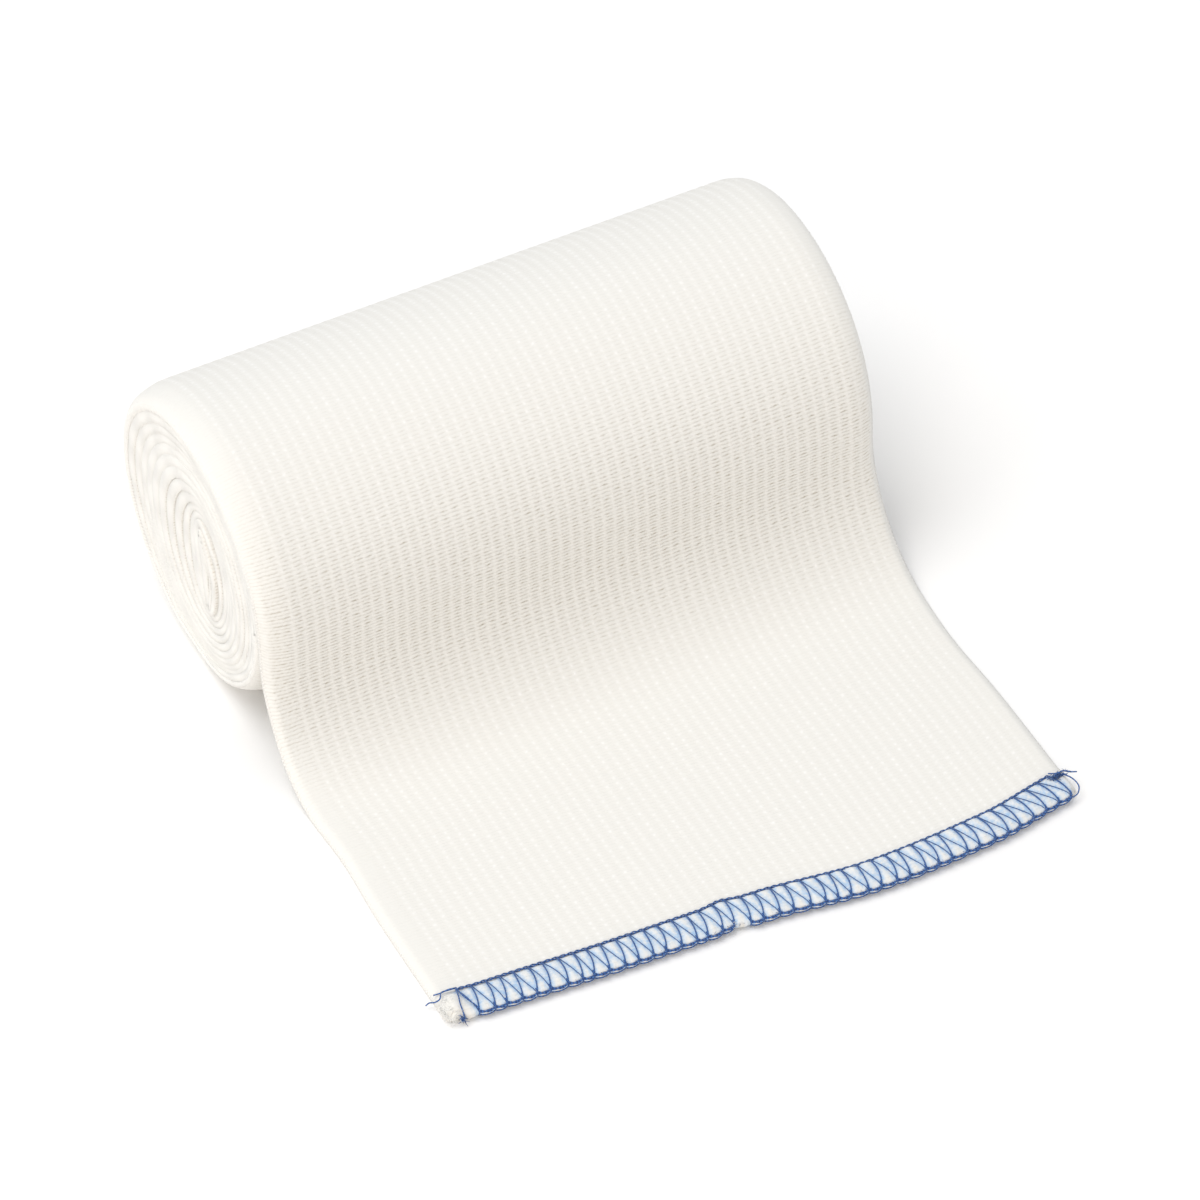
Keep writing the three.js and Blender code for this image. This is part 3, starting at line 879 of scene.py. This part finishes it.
# %% Cloth material
def cloth_material(name, colour, shadow, painted_highlight, band_tint):
    m = new_material(name)
    add, look = partial(add_node, m), KNIT_LOOK
    uv = (add("UVMap", settings={"uv_map": "cloth_mm"}), "UV")
    yarn = {"settings": {"noise_dimensions": "2D"}, "Vector": uv, "Detail": 3.0, "Roughness": 0.6}
    split = add("SeparateXYZ", uv)
    wander = add("Math SUBTRACT", add("TexNoise", Scale=look["wander_scale"], **yarn), 0.5)
    v = add("Math MULTIPLY_ADD", wander, look["wander_along"], (split, "Y"))
    u = add("Math MULTIPLY_ADD", wander, look["wander_across"], (split, "X"))

    # Cross threads, and ribs over them except on the two edges
    along_row = add("Math MULTIPLY", v, math.pi / ROW)
    thread = add("Math POWER", add("Math ABSOLUTE", add("Math SINE", along_row)), look["thread_fullness"])
    rib = add("Math COSINE", add("Math MULTIPLY", u, 2 * math.pi / WALE))
    from_right = add("Math SUBTRACT", WIDTH + RIGHT_NARROWER, (split, "X"))
    knitted = add("MapRange", add("Math MINIMUM", (split, "X"), from_right), SELVEDGE, SELVEDGE + WALE)
    on_rib = add("Math MULTIPLY", add("Math MULTIPLY_ADD", rib, -0.5, 0.5), knitted)
    rib_cover = add("Math POWER", on_rib, look["rib_narrow"])

    # Painted shade in the slits between cross threads, uneven from place to place
    patches = add("Math MULTIPLY_ADD", add("TexNoise", Scale=look["patch_scale"], **yarn), 4.0, -1.2)
    slit = add("Math MULTIPLY", add("Math SUBTRACT", 1.0, thread),
               add("Math MULTIPLY_ADD", rib_cover, -look["rib_hides_slit"], 1.0))
    every_other = add("Math MULTIPLY_ADD", add("Math COSINE", along_row), look["every_other_slit"], 1.0)
    slant = add("Math COSINE", add("Math MULTIPLY_ADD", u, -4 * math.pi / WALE, along_row))
    slit = add("Math MULTIPLY_ADD", slit, every_other, add("Math MULTIPLY", slant, look["slanting_yarn"]))
    painted_slit_shade = add("Math MULTIPLY", slit, patches)

    # Knots, and the height of threads, knots and fuzz together
    tie = add("Math MULTIPLY_ADD", add("Math COSINE", add("Math MULTIPLY", v, 2 * math.pi / TIE)), 0.5, 0.5)
    knot = add("Math MULTIPLY", add("Math POWER", on_rib, look["knot_narrow"]),
               add("Math POWER", tie, look["knot_short"]))
    ridges = add("Math MULTIPLY", thread, add("Math MULTIPLY_ADD", rib_cover, -look["rib_hides_thread"], 1.0))
    ridges = add("Math MULTIPLY", ridges, add("Math MULTIPLY_ADD", knitted, 0.35, 0.65))
    fuzz = add("TexNoise", Scale=look["fuzz_scale"], **{**yarn, "Detail": 4.0})
    height = add("Math MULTIPLY_ADD", knot, look["knot_high"], ridges)
    height = add("Math MULTIPLY_ADD", fuzz, look["fuzz_high"], height)
    # The painted slit shade, and the bump, grow where the cloth stands upright facing front or back
    facing = add("SeparateXYZ", (add("NewGeometry"), "Normal"))
    upright = add("Math ABSOLUTE", (facing, "Y"))
    strength, shade = (add("Math MULTIPLY_ADD", add("Math POWER", upright, by["power"]), by["more"], by["least"])
                       for by in (UPRIGHT_BUMP, UPRIGHT_SHADE))
    bump = add("Bump", Strength=strength, Distance=look["relief"] * MM, Height=height)

    # Colour: the yarn, with painted shade in slits and valleys, a painted highlight on knots, bluish beside the
    # blue threads
    painted_valley_shade = add("Math MULTIPLY", add("Math SUBTRACT", knitted, on_rib), look["painted_valley_shade"])
    weave_with_painted_shade = add("Mix", add("Math MULTIPLY_ADD", painted_slit_shade, shade, painted_valley_shade), settings=COLOUR_MIX,
                i6=linear(colour), i7=linear(shadow))
    # A painted highlight on each knot, uneven from place to place
    painted_knot_highlight = add("Math MULTIPLY", knot, add("Math MULTIPLY", patches, look["knot_painted_highlight"]))
    with_painted_knot_highlights = add("Mix", painted_knot_highlight, settings=COLOUR_MIX, i6=(weave_with_painted_shade, 2), i7=linear(painted_highlight))
    tint = (add("Attribute", settings={"attribute_name": "thread_tint"}), "Fac")
    patchy = add("Math MULTIPLY_ADD", add("TexNoise", Scale=look["tint_scale"], **yarn), 2.4, -0.3)
    blue_near_threads = add("Mix", add("Math MULTIPLY", tint, patchy), settings=COLOUR_MIX,
               i6=(with_painted_knot_highlights, 2), i7=linear(band_tint))
    shader = add("BsdfPrincipled", Roughness=0.92, IOR=1.46, Normal=bump, Base_Color=(blue_near_threads, 2),
                 Sheen_Weight=0.12, Sheen_Roughness=0.5, Specular_IOR_Level=0.25)
    add("OutputMaterial", Surface=shader)
    return m


COTTON = cloth_material("bleached_elastic_cotton_knit", "#ECEBE7", "#A79C86", "#FFFFFF", "#AFCDEB")

# %% [markdown]
# ### Single yarns
# The loops along the edges and the lint are single cotton yarns and fibres. They have no weave, only a
# fine roughness, and loose fibres are so thin that light comes through them: that keeps lint white
# where solid cloth would be grey. A translucent shader mixed in gives that, and the lint's colour is
# also lighter than the yarn's: painted light against the shade among its fibres.

# %% Yarn material
def yarn_material(name, colour, see_through=0.0):
    m = new_material(name)
    fibre = add_node(m, "TexNoise", Scale=2500.0, Detail=3.0)
    bump = add_node(m, "Bump", Strength=0.5, Distance=0.04 * MM, Height=fibre)
    shader = add_node(m, "BsdfPrincipled", Roughness=0.92, IOR=1.46, Normal=bump, Base_Color=linear(colour),
                      Sheen_Weight=0.12)
    glow = add_node(m, "BsdfTranslucent", Color=linear(colour))
    mixed = add_node(m, "MixShader", see_through, shader, glow)
    add_node(m, "OutputMaterial", Surface=mixed)
    return m


YARN = yarn_material("bleached_cotton_yarn", "#EFEEEB")
# Lighter than the yarn: painted light against the shade among the fibres, besides real translucency
LOOSE_FIBRE_PAINTED_LIGHT = yarn_material("loose_cotton_fibre", "#FDFDFC", 0.6)

# %% [markdown]
# ### Spun polyester thread
# Overlock thread is two spun polyester plies twisted together, dyed before winding. The twist shows as
# a fine slanting line every half millimetre, and the thread has a soft satin shine. The colour holds
# painted shade in the groove between the plies and a painted highlight on each ply's crown, over a
# random mottle. The real twist is finer than that, so it is drawn coarser here, to show at all.

# %% Thread material
TWIST = 0.5


def thread_material(name, colour, deep, painted_highlight):
    m = new_material(name)
    uv = add_node(m, "UVMap", settings={"uv_map": "cloth_mm"})
    split = add_node(m, "SeparateXYZ", uv)
    angle = add_node(m, "Math MULTIPLY_ADD", (split, "Y"), 2 * math.pi / TWIST, (split, "X"))
    ply = add_node(m, "Math MULTIPLY_ADD", add_node(m, "Math SINE", angle), 0.5, 0.5)
    mottle = add_node(m, "TexNoise", Scale=900.0, Detail=3.0)
    # Dark in the twist's groove and light on each ply's crown: painted shade and painted highlight, with a
    # random mottle
    mottle_and_painted_ply_light = add_node(m, "Math MULTIPLY_ADD", mottle, 0.5, add_node(m, "Math MULTIPLY", ply, 0.5))
    ramp = add_node(m, "ValToRGB", mottle_and_painted_ply_light)
    stops = ramp.color_ramp.elements
    stops[0].position, stops[0].color = 0.2, linear(deep)
    stops[1].position, stops[1].color = 0.85, linear(painted_highlight)
    stops.new(0.5).color = linear(colour)
    bump = add_node(m, "Bump", Strength=0.6, Distance=0.05 * MM, Height=ply)
    shader = add_node(m, "BsdfPrincipled", Roughness=0.55, IOR=1.5, Normal=bump, Base_Color=ramp,
                      Sheen_Weight=0.3)
    add_node(m, "OutputMaterial", Surface=shader)
    return m


THREAD = thread_material("spun_polyester_thread_blue", "#1B4C92", "#0D3068", "#3F7DC4")

# %% [markdown]
# ## Dressing the pieces
# Each piece gets its material and the body that it rides on. The bandage is one body, so all of it
# rides on the root. Then the solids that the pieces stand for are hidden: the loose end, the roll and
# the stitched edge.

# %% Dress the pieces
DRESS = (
    (loose_end, COTTON, "elastic_cloth"), (outer_turn, COTTON, "elastic_cloth"),
    (wound_turns, COTTON, "elastic_cloth"), (selvedge, YARN, "elastic_cloth"),
    (lint, LOOSE_FIBRE_PAINTED_LIGHT, "elastic_cloth"), (stitches, THREAD, "overlock_thread"),
)
for piece, material, slot in DRESS:
    piece.data.materials.append(material)
    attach(piece, "root")
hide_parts("loose_end")
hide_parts("bandage_roll")
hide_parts("bandage_roll")
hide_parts("overlock_edge")
print(len(DRESS), "pieces dressed")

# %% [markdown]
# ## Floor
# The bandage lies on plain white paper, matt and even, so that only the soft shadow shows on it: a
# touch below pure white, with a grain too faint to see as a pattern.

# %% Floor
FLOOR_HALF = 3.0


def floor_material():
    m = new_material("matt_white_paper")
    grain = add_node(m, "TexNoise", Scale=60.0, Detail=2.0)
    tone = add_node(m, "Mix", grain, settings=COLOUR_MIX, i6=linear("#FBFBFB"), i7=linear("#FDFDFD"))
    shader = add_node(m, "BsdfPrincipled", Roughness=0.9, Base_Color=(tone, 2))
    add_node(m, "OutputMaterial", Surface=shader)
    return m


mesh = bpy.data.meshes.new("floor")
corners = [(-1, -1, 0), (1, -1, 0), (1, 1, 0), (-1, 1, 0)]
mesh.from_pydata([[FLOOR_HALF * value for value in corner] for corner in corners], [], [(0, 1, 2, 3)])
floor = bpy.data.objects.new("floor", mesh)
bpy.context.collection.objects.link(floor)
mesh.materials.append(floor_material())

# %% [markdown]
# ## Light
# A product photo like this is lit by a broad soft source above and a little behind on the left, and by
# the white table itself. A large lamp and a bright sky give that light. A weak lamp from the left keeps
# the wound end bright, and a warm one in front on the left gives the shaded front its cream tone.

# %% Light
LAMPS = [
    {"name": "soft_box_overhead", "place": (-0.5, 0.25, 1.5), "aim": (0, -0.03, 0), "size": 1.2,
     "watts": 10.0, "colour": "#FFFFFF"},
    {"name": "window_left", "place": (-1.2, 0.05, 0.55), "aim": (0, -0.03, 0), "size": 1.0,
     "watts": 1.6, "colour": "#FFFFFF"},
    {"name": "warm_fill_front_left", "place": (-0.7, -1.0, 0.4), "aim": (0, -0.03, 0.02), "size": 0.8,
     "watts": 3.6, "colour": "#FFE9D0"},
]
SKY = 0.70


def soft_lamp(name, place, aim, size, watts, colour):
    data = bpy.data.lights.new(name, "AREA")
    data.shape = "DISK"
    data.size = size
    data.energy = watts
    data.color = linear(colour)[:3]
    lamp = bpy.data.objects.new(name, data)
    lamp.location = place
    lamp.rotation_euler = (Vector(aim) - Vector(place)).to_track_quat("-Z", "Y").to_euler()
    bpy.context.collection.objects.link(lamp)
    print(f"{name}: {watts} W, {size} m wide")


for lamp in LAMPS:
    soft_lamp(**lamp)
world = bpy.data.worlds.new("white_studio")
world.use_nodes = True
world.node_tree.nodes["Background"].inputs["Color"].default_value = (1, 1, 1, 1)
world.node_tree.nodes["Background"].inputs["Strength"].default_value = SKY
bpy.context.scene.world = world
bpy.context.scene.view_settings.view_transform = "Standard"

# %% [markdown]
# ## Camera
# The camera is a long lens far away, so that the bandage's sides stay nearly parallel. Its place is an
# angle round the roll, an angle above the table and a distance to one target point, because those can
# be matched to a photo one by one.

# %% Camera
VIEW_AZIMUTH, VIEW_ELEVATION = math.radians(-27.1), math.radians(44.02)
VIEW_DISTANCE = 1133.0
TARGET = np.array([-1.85, -36.9, 20.0])
LENS = 236.9
SENSOR = 36.0
back = np.array([math.sin(VIEW_AZIMUTH) * math.cos(VIEW_ELEVATION),
                 -math.cos(VIEW_AZIMUTH) * math.cos(VIEW_ELEVATION), math.sin(VIEW_ELEVATION)])
camera_data = bpy.data.cameras.new("camera")
camera_data.lens = LENS
camera_data.sensor_width = SENSOR
camera = bpy.data.objects.new("camera", camera_data)
camera.location = (TARGET + back * VIEW_DISTANCE) * MM
camera.rotation_euler = Vector(back).to_track_quat("Z", "Y").to_euler()
bpy.context.collection.objects.link(camera)
bpy.context.scene.camera = camera
print(f"camera {VIEW_DISTANCE / 1000:.2f} m away, {LENS} mm lens")
